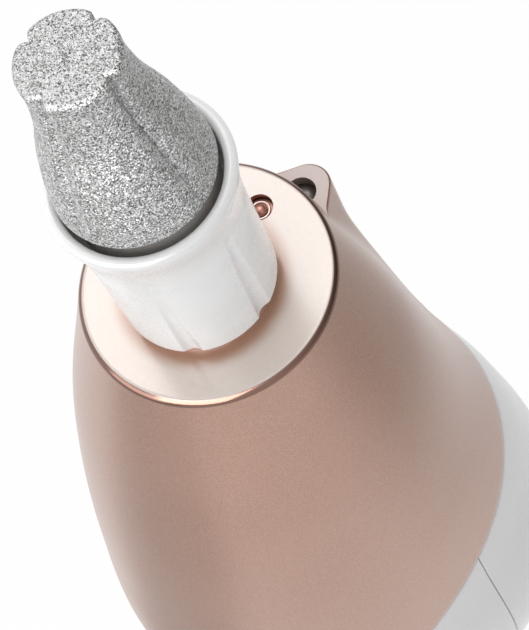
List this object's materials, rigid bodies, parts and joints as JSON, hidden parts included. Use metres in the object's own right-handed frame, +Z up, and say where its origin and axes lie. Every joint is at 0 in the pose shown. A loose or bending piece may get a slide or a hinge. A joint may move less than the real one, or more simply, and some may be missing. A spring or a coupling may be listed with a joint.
{
  "type": "electric callus remover",
  "caption": "Handheld callus remover: spinning bell-shaped grit head in a fluted pull-off collar, metallic nose with a work light, two-part handle, slide switch.",
  "frame": {"origin": "point of the flat tail face where the head's axis crosses it", "axes": "+Z up the handle to the tip of the head, -Y the front with the switch and the work light"},
  "size_m": [0.0456, 0.055, 0.1529],
  "materials": {
    "rose_metallic": "satin rose-gold metallic coat on plastic",
    "copper_screw": "copper-toned plated screw",
    "handle_plastic": "light grey-white gloss",
    "white_gloss": "white gloss",
    "white_plastic": "natural white moulding",
    "grit": "coarse diamond-grit coating on steel",
    "hub_plastic": "dark grey moulding",
    "grey_plastic": "grey moulding",
    "dark_plastic": "dark moulding",
    "black_plastic": "black moulding",
    "motor_steel": "plated can",
    "magnet": "ferrite",
    "copper": "wound copper armature on a steel shaft",
    "brass": "machined",
    "bronze": "sintered bronze",
    "gear_plastic": "natural acetal",
    "steel": "machined and plated",
    "nickel": "nickel plate",
    "black_rubber": "moulded rubber",
    "cell_wrap": "shrink wrap over a steel can",
    "board": "green solder mask",
    "smoked_lens": "smoked clear window",
    "led_resin": "clear resin over the die",
    "light_pipe": "frosted light pipe",
    "red_wire": "PVC insulation",
    "black_wire": "PVC insulation"
  },
  "bodies": {
    "housing": {"nose_shell": "rose_metallic", "nose_screw": "copper_screw", "handle_front_shell": "handle_plastic", "handle_back_shell": "handle_plastic", "socket_sleeve": "grey_plastic", "chassis": "grey_plastic", "gear_case": "dark_plastic", "gear_case_cover": "dark_plastic", "motor_can": "motor_steel", "motor_end_cap": "black_plastic", "motor_magnets": "magnet", "layshaft": "steel", "front_bearing": "steel", "rear_bush": "bronze", "shaft_seal": "black_rubber", "battery_cell": "cell_wrap", "battery_contacts": "nickel", "main_board": "board", "slide_switch": "dark_plastic", "light_lens": "smoked_lens", "work_light_led": "led_resin", "light_board": "board", "charge_port": "nickel", "charge_board": "board", "port_gasket": "black_rubber", "indicator_lens": "light_pipe", "indicator_led": "led_resin", "case_screws": "steel", "gear_case_screws": "steel", "motor_screws": "steel", "board_screws": "steel", "motor_leads": "red_wire", "battery_leads": "red_wire", "lamp_leads": "black_wire"},
    "attachment": {"collar": "white_gloss", "head_bush": "bronze"},
    "head": {"head_spindle": "steel", "retaining_clip": "steel", "head_hub": "hub_plastic", "head_core": "white_plastic", "grit_head": "grit"},
    "output": {"drive_shaft": "steel", "output_gear": "gear_plastic"},
    "reduction": {"compound_gear": "gear_plastic"},
    "rotor": {"motor_rotor": "copper", "motor_pinion": "brass"},
    "button": {"switch_button": "rose_metallic", "switch_slider": "black_plastic"}
  },
  "joints": [
    {"name": "collar_pull", "type": "slide", "parent": "housing", "child": "attachment", "axis": [0, 0, 1], "range_m": [0, 0.016]},
    {"name": "head_spin", "type": "hinge", "parent": "attachment", "child": "head", "pos_m": [0, 0, 0.13], "axis": [0, 0, 1], "continuous": true},
    {"name": "output_spin", "type": "hinge", "parent": "housing", "child": "output", "pos_m": [0, 0, 0.09], "axis": [0, 0, 1], "continuous": true},
    {"name": "reduction_spin", "type": "hinge", "parent": "housing", "child": "reduction", "pos_m": [0, 0.0084, 0.088], "axis": [0, 0, 1], "continuous": true},
    {"name": "rotor_spin", "type": "hinge", "parent": "housing", "child": "rotor", "pos_m": [0, 0, 0.075], "axis": [0, 0, 1], "continuous": true},
    {"name": "switch_slide", "type": "slide", "parent": "housing", "child": "button", "axis": [0, 0, 1], "range_m": [0, 0.004]}
  ],
  "couplings": [
    {"joint": "output_spin", "follows": "head_spin", "ratio": 1},
    {"joint": "reduction_spin", "follows": "head_spin", "ratio": -3},
    {"joint": "rotor_spin", "follows": "head_spin", "ratio": 9}
  ]
}
